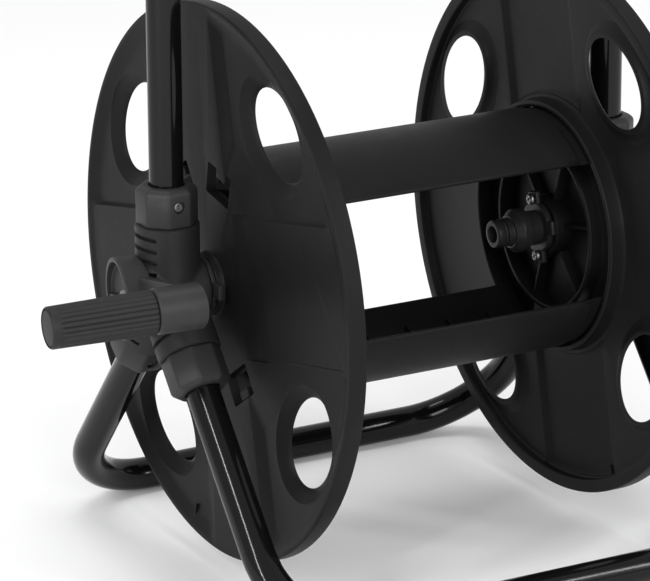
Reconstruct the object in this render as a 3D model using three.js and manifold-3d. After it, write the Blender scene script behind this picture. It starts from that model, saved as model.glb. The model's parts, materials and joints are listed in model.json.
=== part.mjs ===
// Garden hose reel: a two-flange drum that turns in a stand of three U-shaped steel tubes.
// Millimetres, +Z up, X along the drum's axis, the crank towards -X and the user towards -Y.
// The floor is z = 0, and the origin lies below the middle of the whole reel.

import * as THREE from 'three';
import { mergeVertices } from 'three/addons/utils/BufferGeometryUtils.js';
import Module from 'manifold-3d';

const wasm = await Module();
wasm.setup();

// ---------- driving sizes ----------

const gap = 0.3;                 // between pieces that touch
const running = 0.35;            // round pieces that turn in each other
const roundSides = 20;

// Stand
const tubeRadius = 9;
const tubeWall = 1.2;
const tubeBend = 50;             // centre line radius of every bend
const tubeSides = 12;
const boreSides = 8;
const bendSteps = 6;
const floorClearance = 12;       // under the drum's flanges
const footSpread = 130;          // floor tube in front of the axis, and behind it
const handleClearance = 140;     // flange's top to the handle bar's centre line

// Joints of the stand
const socketWall = 8;
const socketLength = 37.5;
const socketClearance = 0.5;     // round the tube
const socketRoot = 8;            // where a socket starts, inside the hub
const socketSides = 16;
const socketStop = 24;           // where a tube's end stops, from the joint's centre
const hubProud = 0.3;            // hub's faces beyond the sockets
const hubWall = 6.15;            // round the bush
const collarWall = 6.2;          // tube to the collar's flats
const collarSides = 8;
const collarLength = 20.5;
const collarChamfer = 3;
const screwRadius = 1.6;
const screwHead = 3.2;
const screwHeadDepth = 1.4;
const screwPlace = 11;           // along the collar, from its inner end
const screwSunk = 0.6;           // head below the collar's flat

// Drum
const drumTurn = -12;            // degrees, how the drum stands at rest
const flangeRadius = 150;
const rimSides = 48;
const coreSides = 32;
const drumWidth = 200;           // between the flanges' rims
const rimWidth = 10;
const rimWall = 7;
const webTop = 2.5;              // below the rim's outer face
const webFloor = 5.5;
const bandTop = 1.2;
const spokeHalf = 35;
const bandHalf = 37;
const holeToRim = 17.5;
const holeRadial = 20;           // half sizes of the oval holes
const holeTangential = 28;
const holeCollar = 2.2;
const holeCollarFloor = 9.2;
const coreRadius = 67;
const coreWall = 3;
const coreDepth = 15;            // how far the core's sockets reach in from the outer face
const innerRingPlace = 19;       // inside the core's radius
const innerRingWall = 3;
const bossWall = 6;              // round the shaft
const bossDepth = 16;
const bossRise = 4.5;            // of the boss beyond the outer face
const windowAngle = 25;          // degrees from the spoke to each latch window
const windowWidth = 24;
const windowRoom = 15.5;         // radial size of a window
const windowPlace = 1.5;         // inside the core's radius

// Slats
const slatWall = 2.5;
const slatHalfAngle = 55;
const slatEnd = 7.5;             // slat's end below the flange's outer face
const slatSteps = 10;
const latchWidth = 10;
const latchWall = 2.5;
const latchTip = 1;

// Shaft line
const shaftRadius = 11;
const bushWall = 2;
const bushLip = 3.65;            // collar beyond the sleeve
const bushCollarWidth = 2.7;
const endPlay = 0.2;             // of the drum between the bushes
const tenonSide = 12;
const tenonLength = 13;
const axleScrewRadius = 2.2;
const axleScrewHead = 5;
const axleScrewHeadDepth = 4;

// Crank
const crankHubRadius = 22;
const crankHubWidth = 11.6;      // at its middle, because its rim slants
const crankHubWall = 2.5;
const crankHubFloor = 5;
const crankRibHalf = 1.2;
const hubSlant = 11;             // degrees
const armLength = 72;
const armThickness = 7;
const armHalfWidth = 10;
const armBossRadius = 12;
const armBossLength = 24;
const gripRadius = 11.7;         // next to the arm
const gripEndRadius = 11;
const gripLength = 56;
const gripRim = 4.5;             // plain length at the free end
const gripLean = 7.5;            // degrees, towards the hub
const gripFlutes = 24;
const fluteDepth = 0.6;
const spindleRadius = 4;
const spindleHead = 5.5;
const spindleHeadDepth = 3;
const spindleSunk = 0.6;
const capRadius = 9.4;
const capDepth = 4;
const capSunk = 0.2;
const headRoom = 4;              // pocket behind the cap, for the spindle's head

// Water fittings
const noseRadius = 7.8;
const noseLength = 10;
const bulgeRadius = 12.3;
const nippleLength = 27;
const nippleNeck = 9.5;
const nippleRoot = 7;            // neck's length
const bulgeWidth = 6;
const waterBore = 4.5;
const ringGroove = 1.6;
const sealPlace = 4;             // groove behind the nose's tip
const sealWidth = 2.4;
const plateLip = 3;              // plate beyond the shaft
const plateThickness = 3;
const earScrewOffset = 4.8;      // screw from the shaft's surface
const earTip = 4.2;              // ear beyond its screw
const earHalfWidth = 4.5;
const screwReach = 7;
const stemRadius = 8;
const stemLength = 14;
const elbowRadius = 14;
const elbowWidth = 24;
const elbowDrop = 26;
const clipWidth = 2.5;
const clipOverlap = 1;           // snap ring beyond the shaft
const clipMouth = 6;

// ---------- places that follow from them ----------

const flangeFace = drumWidth / 2 + rimWidth;
const axisZ = flangeRadius + floorClearance;
const axleHeight = axisZ - tubeRadius;
const handleRise = flangeRadius + handleClearance;
const legTilt = Math.atan2(footSpread, axleHeight);
const legLength = Math.hypot(footSpread, axleHeight);
const socketRadius = tubeRadius + socketWall;
const collarFlat = tubeRadius + collarWall;
const hubHalfWidth = socketRadius + hubProud;
const framePlane = flangeFace + bossRise + endPlay + bushCollarWidth + gap + hubHalfWidth;
const tubeVertex = tubeRadius / Math.cos(Math.PI / tubeSides);
const nodeFace = framePlane + hubHalfWidth;
const bushBore = shaftRadius + running;
const bushOuter = bushBore + bushWall;
const hubRadius = bushOuter + hubWall;
const bushCollar = bushOuter + bushLip;
const holeCentre = flangeRadius - holeToRim - holeRadial;
const innerRingRadius = coreRadius - innerRingPlace;
const windowOuter = coreRadius - windowPlace;
const windowInner = windowOuter - windowRoom;
const bossRadius = shaftRadius + bossWall;
const plateRadius = shaftRadius + plateLip;
const earScrewPlace = shaftRadius + earScrewOffset;
const earReach = earScrewPlace + earTip;
const armInner = nodeFace + 1;
const hubOuter = armInner + crankHubWidth;
const lean = THREE.MathUtils.degToRad(gripLean);
const gripFoot = armBossLength + gap;      // along the grip's own axis, from the arm's inner face
const gripTip = gripFoot + gripLength;
const gripReach = armInner + gripTip * Math.cos(lean) + gripEndRadius * Math.sin(lean);
const elbowStart = nodeFace + 1 + clipWidth + gap;
const elbowEnd = elbowStart + elbowWidth;
const middleX = (elbowEnd - gripReach) / 2;

// ---------- materials ----------

const paintedSteel = new THREE.MeshStandardMaterial({ color: 0x0d0d0e, roughness: 0.16, metalness: 0.5 });
const blackPlastic = new THREE.MeshStandardMaterial({ color: 0x1d1d1f, roughness: 0.5, metalness: 0 });
const greyPlastic = new THREE.MeshStandardMaterial({ color: 0x2a2a2c, roughness: 0.42, metalness: 0 });
const gripPlastic = new THREE.MeshStandardMaterial({ color: 0x303032, roughness: 0.55, metalness: 0 });
const acetal = new THREE.MeshStandardMaterial({ color: 0x161617, roughness: 0.35, metalness: 0 });
const rubber = new THREE.MeshStandardMaterial({ color: 0x0a0a0a, roughness: 0.7, metalness: 0 });
const zincSteel = new THREE.MeshStandardMaterial({ color: 0x8f9194, roughness: 0.35, metalness: 0.9 });

// ---------- solids ----------

// A closed geometry with its shared corners merged, as a solid that can be joined and cut.
function toSolid(geometry) {
  const bare = geometry.clone();
  bare.deleteAttribute('normal');
  bare.deleteAttribute('uv');
  const merged = mergeVertices(bare);
  return new wasm.Manifold(new wasm.Mesh({
    numProp: 3,
    vertProperties: new Float32Array(merged.attributes.position.array),
    triVerts: new Uint32Array(merged.index.array),
  }));
}

function toGeometry(solid) {
  const mesh = solid.getMesh();
  const geometry = new THREE.BufferGeometry();
  geometry.setAttribute('position', new THREE.BufferAttribute(new Float32Array(mesh.vertProperties), 3));
  geometry.setIndex(new THREE.BufferAttribute(new Uint32Array(mesh.triVerts), 1));
  geometry.computeVertexNormals();
  return geometry;
}

function join(...solids) {
  return solids.reduce((whole, piece) => whole.add(piece));
}

function cut(body, ...tools) {
  return tools.reduce((rest, tool) => rest.subtract(tool), body);
}

function piece(name, shape, material) {
  const geometry = shape instanceof THREE.BufferGeometry ? shape : toGeometry(shape);
  const mesh = new THREE.Mesh(geometry, material);
  mesh.name = name;
  return mesh;
}

// Turned shape about the X axis; the profile is a list of [radius, x] that closes on itself or on the axis.
function turned(profile, sides = roundSides) {
  const points = profile.map(([radius, x]) => new THREE.Vector2(radius, x));
  if (profile[0][0] !== 0) {
    points.push(points[0].clone());
  }
  return new THREE.LatheGeometry(points, sides).rotateZ(-Math.PI / 2);
}

function rod(radius, x0, x1, sides = roundSides) {
  return toSolid(turned([[0, x0], [radius, x0], [radius, x1], [0, x1]], sides));
}

function ring(outer, inner, x0, x1, sides = roundSides) {
  return toSolid(turned([[inner, x0], [outer, x0], [outer, x1], [inner, x1]], sides));
}

// A flat outline in the Y-Z plane, carried from x0 to x1; narrow is its size at x0.
function plate(shape, x0, x1, curveSegments = 6, narrow = 1) {
  const depth = x1 - x0;
  const geometry = new THREE.ExtrudeGeometry(shape, { depth, bevelEnabled: false, curveSegments });
  const corners = geometry.attributes.position;
  for (let i = 0; i < corners.count; i += 1) {
    const size = narrow + ((1 - narrow) * corners.getZ(i)) / depth;
    corners.setX(i, corners.getX(i) * size);
    corners.setY(i, corners.getY(i) * size);
  }
  const yzx = new THREE.Matrix4().makeBasis(
    new THREE.Vector3(0, 1, 0), new THREE.Vector3(0, 0, 1), new THREE.Vector3(1, 0, 0));
  return toSolid(geometry.applyMatrix4(yzx).translate(x0, 0, 0));
}

function block(x0, x1, y0, y1, z0, z1) {
  const geometry = new THREE.BoxGeometry(x1 - x0, y1 - y0, z1 - z0);
  return toSolid(geometry.translate((x0 + x1) / 2, (y0 + y1) / 2, (z0 + z1) / 2));
}

// Turns a solid about the X axis, degrees.
function aboutX(solid, degrees) {
  return solid.rotate([degrees, 0, 0]);
}

// Swaps the two ends of the reel: a half turn about Z carries the -X side to the +X side.
function otherEnd(solid) {
  return solid.rotate([0, 0, 180]);
}

// ---------- stand ----------

// A planar path of straight runs and round bends, sampled where the section has to be placed.
class BentPath extends THREE.Curve {
  constructor(corners, bend) {
    super();
    this.places = [];
    this.headings = [];
    const last = corners.length - 1;
    for (let i = 0; i <= last; i += 1) {
      this.addCorner(corners[Math.max(i - 1, 0)], corners[i], corners[Math.min(i + 1, last)], bend);
    }
  }

  addCorner(before, corner, after, bend) {
    const arriving = corner.clone().sub(before);
    const leaving = after.clone().sub(corner);
    if (arriving.length() === 0 || leaving.length() === 0) {
      this.places.push(corner.clone());
      this.headings.push((arriving.length() === 0 ? leaving : arriving).normalize());
      return;
    }
    arriving.normalize();
    leaving.normalize();
    const turn = arriving.angleTo(leaving);
    const start = corner.clone().addScaledVector(arriving, -bend * Math.tan(turn / 2));
    const inwards = leaving.clone().addScaledVector(arriving, -leaving.dot(arriving)).normalize();
    for (let i = 0; i <= bendSteps; i += 1) {
      const angle = (turn * i) / bendSteps;
      this.places.push(start.clone()
        .addScaledVector(arriving, bend * Math.sin(angle))
        .addScaledVector(inwards, bend * (1 - Math.cos(angle))));
      this.headings.push(arriving.clone().multiplyScalar(Math.cos(angle))
        .addScaledVector(inwards, Math.sin(angle)));
    }
  }

  get steps() {
    return this.places.length - 1;
  }

  getPointAt(u, target = new THREE.Vector3()) {
    return target.copy(this.places[Math.round(u * this.steps)]);
  }

  getTangentAt(u, target = new THREE.Vector3()) {
    return target.copy(this.headings[Math.round(u * this.steps)]);
  }
}

// Round tube section; one flat of the outside faces the angle given.
function tubeSection(facing) {
  const section = new THREE.Shape();
  for (let i = 0; i < tubeSides; i += 1) {
    const angle = facing + ((i + 0.5) * 2 * Math.PI) / tubeSides;
    const point = [tubeVertex * Math.cos(angle), tubeVertex * Math.sin(angle)];
    if (i === 0) {
      section.moveTo(...point);
    } else {
      section.lineTo(...point);
    }
  }
  section.closePath();
  const bore = new THREE.Path();
  for (let i = 0; i < boreSides; i += 1) {
    const angle = (i * 2 * Math.PI) / boreSides;
    const point = [(tubeRadius - tubeWall) * Math.cos(angle), (tubeRadius - tubeWall) * Math.sin(angle)];
    if (i === 0) {
      bore.moveTo(...point);
    } else {
      bore.lineTo(...point);
    }
  }
  bore.closePath();
  section.holes.push(bore);
  return section;
}

// A U of tube from the near joint to the far one. Its legs leave the joints at a tilt from straight up.
function uTube(tilt, reach, facing) {
  const away = new THREE.Vector3(0, Math.sin(tilt), Math.cos(tilt));
  const at = (x, along) => new THREE.Vector3(x, 0, axisZ).addScaledVector(away, along);
  const path = new BentPath([
    at(-framePlane, socketStop + gap), at(-framePlane, reach), at(framePlane, reach),
    at(framePlane, socketStop + gap)], tubeBend);
  return toSolid(new THREE.ExtrudeGeometry(tubeSection(facing), {
    steps: path.steps, bevelEnabled: false, extrudePath: path,
  }));
}

// The three legs of each joint: how far from straight up, and which way its screw faces.
const legs = {
  handle: { tilt: 0, screwSide: 1 },
  front: { tilt: Math.PI - legTilt, screwSide: 1 },
  rear: { tilt: -(Math.PI - legTilt), screwSide: -1 },
};

// Carries a piece made along +Z with its screw towards -Y onto a leg of a joint.
function ontoLeg(solid, leg, side) {
  const turnedRound = leg.screwSide < 0 ? solid.rotate([0, 0, 180]) : solid;
  return turnedRound
    .rotate([THREE.MathUtils.radToDeg(leg.tilt), 0, 0])
    .translate([side * framePlane, 0, axisZ]);
}

// A rod along +Z with one of its flats towards -Y.
function upright(radius, z0, z1) {
  return rod(radius, z0, z1, socketSides).rotate([0, -90, 0]).rotate([0, 0, 180 / socketSides]);
}

// One moulded joint: three sockets round a hub that carries the drum's bearing.
function standJoint(side) {
  let body = ring(hubRadius, bushOuter + gap, -hubHalfWidth, hubHalfWidth);
  body = body.translate([side * framePlane, 0, axisZ]);
  const hubClear = rod(bushOuter + gap, -hubHalfWidth - 1, hubHalfWidth + 1)
    .translate([side * framePlane, 0, axisZ]);
  for (const leg of Object.values(legs)) {
    body = body.add(ontoLeg(upright(socketRadius, socketRoot, socketLength), leg, side));
  }
  for (const leg of Object.values(legs)) {
    const bore = upright(tubeVertex + socketClearance, socketStop, socketLength + 1);
    body = body.subtract(ontoLeg(bore, leg, side));
  }
  return body.subtract(hubClear);
}

// Eight-sided clamp collar with a chamfered outer end, drilled for its screw.
function collar() {
  const flatToCorner = 1 / Math.cos(Math.PI / collarSides);
  const corner = collarFlat * flatToCorner;
  const start = socketLength + gap;
  const end = start + collarLength;
  const bore = (tubeVertex + gap) * flatToCorner;
  const body = toSolid(turned([
    [bore, start], [corner, start], [corner, end - collarChamfer],
    [corner - collarChamfer, end], [bore, end]], collarSides));
  return body.rotate([0, -90, 0]).rotate([0, 0, 180 / collarSides]);
}

// A screw along -Y at the collar, with some clearance if it is to be cut away.
function tubeScrew(clearance) {
  const reach = tubeRadius - tubeWall - 1;
  const top = collarFlat - screwSunk + clearance;
  const shank = rod(screwRadius + clearance, reach - clearance, top, 8);
  const head = rod(screwHead + clearance, top - screwHeadDepth - 2 * clearance, top + clearance, 12);
  return join(shank, head).rotate([0, 0, -90]).translate([0, 0, socketLength + gap + screwPlace]);
}

function stand() {
  const group = new THREE.Group();
  const drill = (tube, leg) => cut(tube, ontoLeg(tubeScrew(gap), leg, -1), ontoLeg(tubeScrew(gap), leg, 1));
  group.add(
    piece('handle_tube', drill(uTube(0, handleRise, 0), legs.handle), paintedSteel),
    piece('front_foot_tube', drill(uTube(-(Math.PI - legTilt), legLength, legTilt), legs.front), paintedSteel),
    piece('rear_foot_tube', drill(uTube(Math.PI - legTilt, legLength, -legTilt), legs.rear), paintedSteel),
  );
  for (const [end, side] of [['near', -1], ['far', 1]]) {
    group.add(piece(`${end}_joint`, standJoint(side), blackPlastic));
    for (const [place, leg] of Object.entries(legs)) {
      group.add(
        piece(`${end}_${place}_collar`, ontoLeg(cut(collar(), tubeScrew(gap)), leg, side), greyPlastic),
        piece(`${end}_${place}_screw`, ontoLeg(tubeScrew(0), leg, side), zincSteel),
      );
    }
    group.add(piece(`${end}_bush`, bush(side), acetal));
  }
  return group;
}

// Flanged plain bearing, pushed into the joint's hub from the drum's side.
function bush(side) {
  const inner = framePlane - hubHalfWidth;
  const sleeve = toSolid(turned([
    [bushBore, -nodeFace + 1], [bushOuter, -nodeFace + 1], [bushOuter, -inner + gap],
    [bushCollar, -inner + gap], [bushCollar, -inner + gap + bushCollarWidth],
    [bushBore, -inner + gap + bushCollarWidth]]));
  return (side < 0 ? sleeve : otherEnd(sleeve)).translate([0, 0, axisZ]);
}

// ---------- drum ----------

function oval(halfRadial, halfTangential) {
  const shape = new THREE.Shape();
  shape.absellipse(0, 0, halfRadial, halfTangential, 0, 2 * Math.PI, false, 0);
  return shape;
}

// Four copies between the spokes.
function quarters(solid) {
  return [45, 135, 225, 315].map((degrees) => aboutX(solid, degrees));
}

// The near flange, made at the -X end with its outer face at -flangeFace.
function flange() {
  const x = (depth) => -flangeFace + depth;
  const inside = rod(flangeRadius - rimWall / 2, x(-1), x(coreDepth + 5), rimSides);
  const rim = ring(flangeRadius, flangeRadius - rimWall, x(0), x(rimWidth), rimSides);
  const web = rod(flangeRadius - rimWall / 2, x(webTop), x(webFloor), rimSides);
  const spoke = block(x(0), x(webFloor), -spokeHalf, spokeHalf, -flangeRadius, flangeRadius);
  const band = block(x(bandTop), x(webFloor), -flangeRadius, flangeRadius, -bandHalf, bandHalf);
  const toHole = [0, holeCentre, 0];
  const collars = quarters(plate(
    oval(holeRadial + holeCollar, holeTangential + holeCollar), x(webTop), x(holeCollarFloor)).translate(toHole));
  const holes = quarters(plate(oval(holeRadial, holeTangential), x(-5), x(holeCollarFloor + 1)).translate(toHole));
  const coreFlat = coreRadius / Math.cos(Math.PI / coreSides);
  const coreSocket = ring(coreRadius + coreWall, coreFlat, x(webFloor - 1), x(coreDepth), coreSides);
  const innerRing = ring(
    innerRingRadius, innerRingRadius - innerRingWall, x(webFloor - 1), x(coreDepth - 1), coreSides);
  const boss = rod(bossRadius, x(-bossRise), x(bossDepth));
  const window = block(x(-5), x(webFloor + 3), -windowWidth / 2, windowWidth / 2, windowInner, windowOuter);
  const windows = [-1, 1].flatMap((way) => [0, 180].map((half) => aboutX(window, half + way * windowAngle)));
  const body = join(web, spoke.intersect(inside), band.intersect(inside), rim, ...collars, coreSocket, innerRing);
  return cut(body, ...holes, ...windows).add(boss);
}

function nearFlange() {
  const x = (depth) => -flangeFace + depth;
  const half = tenonSide / 2 + gap;
  const socket = block(x(-bossRise - 1), x(-bossRise + tenonLength + 1), -half, half, -half, half);
  const pilot = rod(axleScrewRadius + gap, x(-bossRise), x(bossDepth + 1), 12);
  return cut(flange(), socket, pilot);
}

// The far flange's boss is bored for the water spindle, with a post on each side for the plate's screws.
function farFlange() {
  const seat = flangeFace - bossDepth;
  const posts = block(seat, flangeFace - webFloor + 1, -earHalfWidth, earHalfWidth, -earReach, earReach);
  const clear = rod(shaftRadius + gap, seat - 1, flangeFace + bossRise + 1);
  const pilots = [1, -1].map((way) => (
    rod(screwRadius + gap, seat - 1, seat + screwReach + 1, 8).translate([0, 0, way * earScrewPlace])));
  return cut(join(otherEnd(flange()), posts), clear, ...pilots);
}

// One half of the core: a curved wall with two latches at each end that hook into the flanges' windows.
function slat(half) {
  const outer = coreRadius - running;
  const inner = outer - slatWall;
  const reach = flangeFace - slatEnd;
  const spread = THREE.MathUtils.degToRad(slatHalfAngle);
  const section = new THREE.Shape();
  section.absarc(0, 0, outer, Math.PI / 2 - spread, Math.PI / 2 + spread, false);
  section.absarc(0, 0, inner, Math.PI / 2 + spread, Math.PI / 2 - spread, true);
  section.closePath();
  const tip = flangeFace - latchTip;
  const latch = block(-tip, tip, -latchWidth / 2, latchWidth / 2, inner - latchWall + 0.5, inner + 0.5);
  const wall = plate(section, -reach, reach, slatSteps);
  const latches = [-windowAngle, windowAngle].map((degrees) => aboutX(latch, degrees));
  const hollow = rod(inner, -reach + 12, reach - 12, coreSides);
  return aboutX(join(wall, ...latches.map((one) => cut(one, hollow))), half);
}

// Crank: a cup-shaped hub with a slanting rim, its shaft, square tenon, arm and grip boss in one moulding.
function crank() {
  const reach = hubOuter + crankHubRadius;
  const beyond = block(-reach, 0, -reach, reach, -reach, reach)
    .rotate([0, 0, -hubSlant])
    .translate([-hubOuter, 0, 0]);
  const hub = cut(rod(crankHubRadius, -hubOuter - armThickness, -armInner), beyond);
  const arm = plate(armOutline(), -armInner - armThickness, -armInner);
  const behind = block(-armInner, 0, -reach, 0, -crankHubRadius, crankHubRadius);
  const boss = cut(atGrip(rod(armBossRadius, -armBossLength, armBossRadius)), behind);
  const shaft = rod(shaftRadius, -armInner - 1, -flangeFace - bossRise - gap);
  const tenonHalf = tenonSide / 2;
  const tenonTip = -flangeFace - bossRise + tenonLength;
  const tenon = block(-nodeFace, tenonTip, -tenonHalf, tenonHalf, -tenonHalf, tenonHalf);
  const floor = -armInner - crankHubFloor;
  const cup = rod(crankHubRadius - crankHubWall, -reach, floor);
  const rib = block(-hubOuter + 2, floor + 1, 1 - crankHubRadius, crankHubRadius - 1, -crankRibHalf, crankRibHalf);
  const screwWay = rod(axleScrewRadius + gap, -reach, tenonTip + 1, 12);
  const headWay = rod(axleScrewHead + 1, -reach, floor + 0.5, 16);
  const spindleWay = rod(spindleRadius + gap, -armBossLength - 1, armBossRadius, 12);
  const ribbed = cut(rib, headWay, beyond);
  const body = join(cut(hub, cup), cut(arm, cup), boss, shaft, tenon, ribbed);
  return cut(body, screwWay, atGrip(spindleWay));
}

// The arm's outline: two round ends and straight sides, towards -Y.
function armOutline() {
  const shape = new THREE.Shape();
  shape.absarc(0, 0, armHalfWidth + 2, -Math.PI / 2, Math.PI / 2, false);
  shape.lineTo(-armLength, armHalfWidth);
  shape.absarc(-armLength, 0, armHalfWidth, Math.PI / 2, (3 * Math.PI) / 2, false);
  shape.closePath();
  return shape;
}

function axleScrew() {
  const floor = -armInner - crankHubFloor;
  const shank = rod(axleScrewRadius, floor - gap, -flangeFace + bossDepth - 2, 12);
  const head = rod(axleScrewHead, floor - gap - axleScrewHeadDepth, floor - gap, 16);
  return join(shank, head);
}

// Leans a solid made on the X axis towards the hub, and carries its 0 to the inner face of the arm's end.
function atGrip(solid) {
  return solid.rotate([0, 0, -gripLean]).translate([-armInner, -armLength, 0]);
}

function gripSpindle() {
  const tip = -gripTip + capDepth + headRoom;
  const pin = rod(spindleRadius, tip, -spindleSunk, 12);
  const head = rod(spindleHead, tip - spindleHeadDepth, tip, 16);
  return atGrip(join(pin, head));
}

// Fluted grip: ridges along its length, a plain rim at its free end, slimmer towards that end.
function grip() {
  const start = -gripFoot;
  const end = -gripTip;
  const outline = new THREE.Shape();
  for (let i = 0; i < 2 * gripFlutes; i += 1) {
    const angle = (i * Math.PI) / gripFlutes;
    const radius = gripRadius - (i % 2) * fluteDepth;
    const point = [radius * Math.cos(angle), radius * Math.sin(angle)];
    if (i === 0) {
      outline.moveTo(...point);
    } else {
      outline.lineTo(...point);
    }
  }
  outline.closePath();
  const fluted = plate(outline, end + gripRim - 0.5, start, 1, gripEndRadius / gripRadius);
  const rim = rod(gripEndRadius, end, end + gripRim);
  const bore = rod(spindleRadius + running, end + capDepth, start + 1, 16);
  const pocket = rod(capRadius + gap, end - 1, end + capDepth);
  const headWay = rod(spindleHead + 1, end, end + capDepth + headRoom + gap, 16);
  return atGrip(cut(join(fluted, rim), bore, pocket, headWay));
}

function gripCap() {
  return atGrip(rod(capRadius, -gripTip + capSunk, -gripTip + capDepth - gap));
}

// ---------- water fittings ----------

// Click nipple along X: nose, ring groove, bulge and neck, bored through. It starts at x and runs towards -X.
function nipple(x) {
  const tip = x - nippleLength;
  const groove = tip + sealPlace;
  return toSolid(turned([
    [waterBore, tip], [noseRadius - 1, tip], [noseRadius, tip + 1], [noseRadius, groove],
    [noseRadius - ringGroove, groove], [noseRadius - ringGroove, groove + sealWidth],
    [noseRadius, groove + sealWidth], [noseRadius, tip + noseLength], [noseRadius + 1.2, tip + noseLength],
    [bulgeRadius, x - nippleRoot - bulgeWidth], [bulgeRadius, x - nippleRoot - 1],
    [nippleNeck, x - nippleRoot], [nippleNeck, x], [waterBore, x]]));
}

// Rubber ring in the nose's groove.
function nippleSeal(x) {
  const groove = x - nippleLength + sealPlace;
  return ring(noseRadius + 0.2, noseRadius - ringGroove + gap, groove + gap, groove + sealWidth - gap);
}

// Hollow spindle: a plate with two ears on the boss, the bearing shaft, and a stem for the elbow.
function waterSpindle() {
  const seat = flangeFace - bossDepth - gap;
  const eared = join(
    rod(plateRadius, seat - plateThickness, seat),
    block(seat - plateThickness, seat, -earHalfWidth, earHalfWidth, -earReach, earReach));
  const shaft = rod(shaftRadius, seat - 0.5, nodeFace + 1);
  const stem = rod(stemRadius, nodeFace, nodeFace + 1 + clipWidth + stemLength);
  const groove = ring(stemRadius + 1, stemRadius - ringGroove, stemSealPlace(), stemSealPlace() + sealWidth);
  const clipGroove = ring(stemRadius + 1, stemRadius - 1, nodeFace + 1, nodeFace + 1 + clipWidth);
  const bore = rod(waterBore, seat - plateThickness - 1, nodeFace + clipWidth + stemLength + 2, 16);
  const screwWays = [1, -1].map((way) => (
    rod(screwRadius + gap, seat - plateThickness - 1, seat + 1, 8).translate([0, 0, way * earScrewPlace])));
  return cut(join(eared, shaft, stem), groove, clipGroove, bore, ...screwWays);
}

function stemSealPlace() {
  return nodeFace + 1 + clipWidth + stemLength / 2;
}

function stemSeal() {
  const start = stemSealPlace();
  return ring(stemRadius, stemRadius - ringGroove + gap, start + gap, start + sealWidth - gap);
}

// Snap ring in the spindle's groove: it stops the drum from moving along its axis.
function snapRing() {
  const start = nodeFace + 1 + gap;
  const outer = shaftRadius + clipOverlap;
  const band = ring(outer, stemRadius - 1 + gap, start, start + clipWidth - 2 * gap);
  const mouth = block(start - 1, start + clipWidth, -clipMouth / 2, clipMouth / 2, 0, outer + 1);
  return cut(band, mouth);
}

function plateScrew(way) {
  const face = flangeFace - bossDepth - gap - plateThickness;
  const shank = rod(screwRadius, face - gap, face + plateThickness + screwReach, 8);
  const head = rod(screwHead, face - gap - 2, face - gap, 12);
  return join(shank, head).translate([0, 0, way * earScrewPlace]);
}

// Elbow that swivels on the stem; its own click nipple hangs down.
function inletElbow() {
  const body = rod(elbowRadius, elbowStart, elbowEnd);
  const middle = elbowStart + elbowWidth / 2;
  const down = rod(elbowRadius - 2, -elbowDrop, 0).rotate([0, -90, 0]).translate([middle, 0, 0]);
  const socket = rod(stemRadius + running, elbowStart - 1, elbowStart + stemLength + 1);
  const outlet = nipple(-elbowDrop + 1).rotate([0, -90, 0]).translate([middle, 0, 0]);
  const drop = rod(waterBore - 0.5, -elbowDrop - 2, -4, 16).rotate([0, -90, 0]).translate([middle, 0, 0]);
  return cut(join(body, down, outlet), socket, drop);
}

function elbowSeal() {
  const middle = elbowStart + elbowWidth / 2;
  return nippleSeal(-elbowDrop + 1).rotate([0, -90, 0]).translate([middle, 0, 0]);
}

// ---------- assembly ----------

function drum() {
  const group = new THREE.Group();
  const nippleSeat = flangeFace - bossDepth - 2 * gap - plateThickness;
  group.add(
    piece('near_flange', nearFlange(), blackPlastic),
    piece('far_flange', farFlange(), blackPlastic),
    piece('top_slat', slat(0), blackPlastic),
    piece('bottom_slat', slat(180), blackPlastic),
    piece('crank', crank(), greyPlastic),
    piece('axle_screw', axleScrew(), zincSteel),
    piece('grip_spindle', gripSpindle(), zincSteel),
    piece('grip', grip(), gripPlastic),
    piece('grip_cap', gripCap(), greyPlastic),
    piece('water_spindle', waterSpindle(), acetal),
    piece('hose_nipple', nipple(nippleSeat), acetal),
    piece('nipple_seal', nippleSeal(nippleSeat), rubber),
    piece('plate_screw_top', plateScrew(1), zincSteel),
    piece('plate_screw_bottom', plateScrew(-1), zincSteel),
    piece('stem_seal', stemSeal(), rubber),
    piece('snap_ring', snapRing(), zincSteel),
  );
  group.rotation.x = THREE.MathUtils.degToRad(drumTurn);
  group.position.z = axisZ;
  return group;
}

function inlet() {
  const group = new THREE.Group();
  group.add(
    piece('inlet_elbow', inletElbow(), acetal),
    piece('elbow_seal', elbowSeal(), rubber),
  );
  group.position.z = axisZ;
  return group;
}

const reel = new THREE.Group();
reel.add(stand(), drum(), inlet());
reel.position.x = -middleX;

export default reel;
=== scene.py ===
"""Garden hose reel: moulded black drum, cranked, in a stand of gloss painted steel tube.

Shapes are worked out in millimetres in the reel's own frame: X along the drum's axis with 0 midway between
the flanges, Y and Z from the axis. A drum shape is then turned by the drum's rest angle about the axis.
"""

import json
import math

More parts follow.
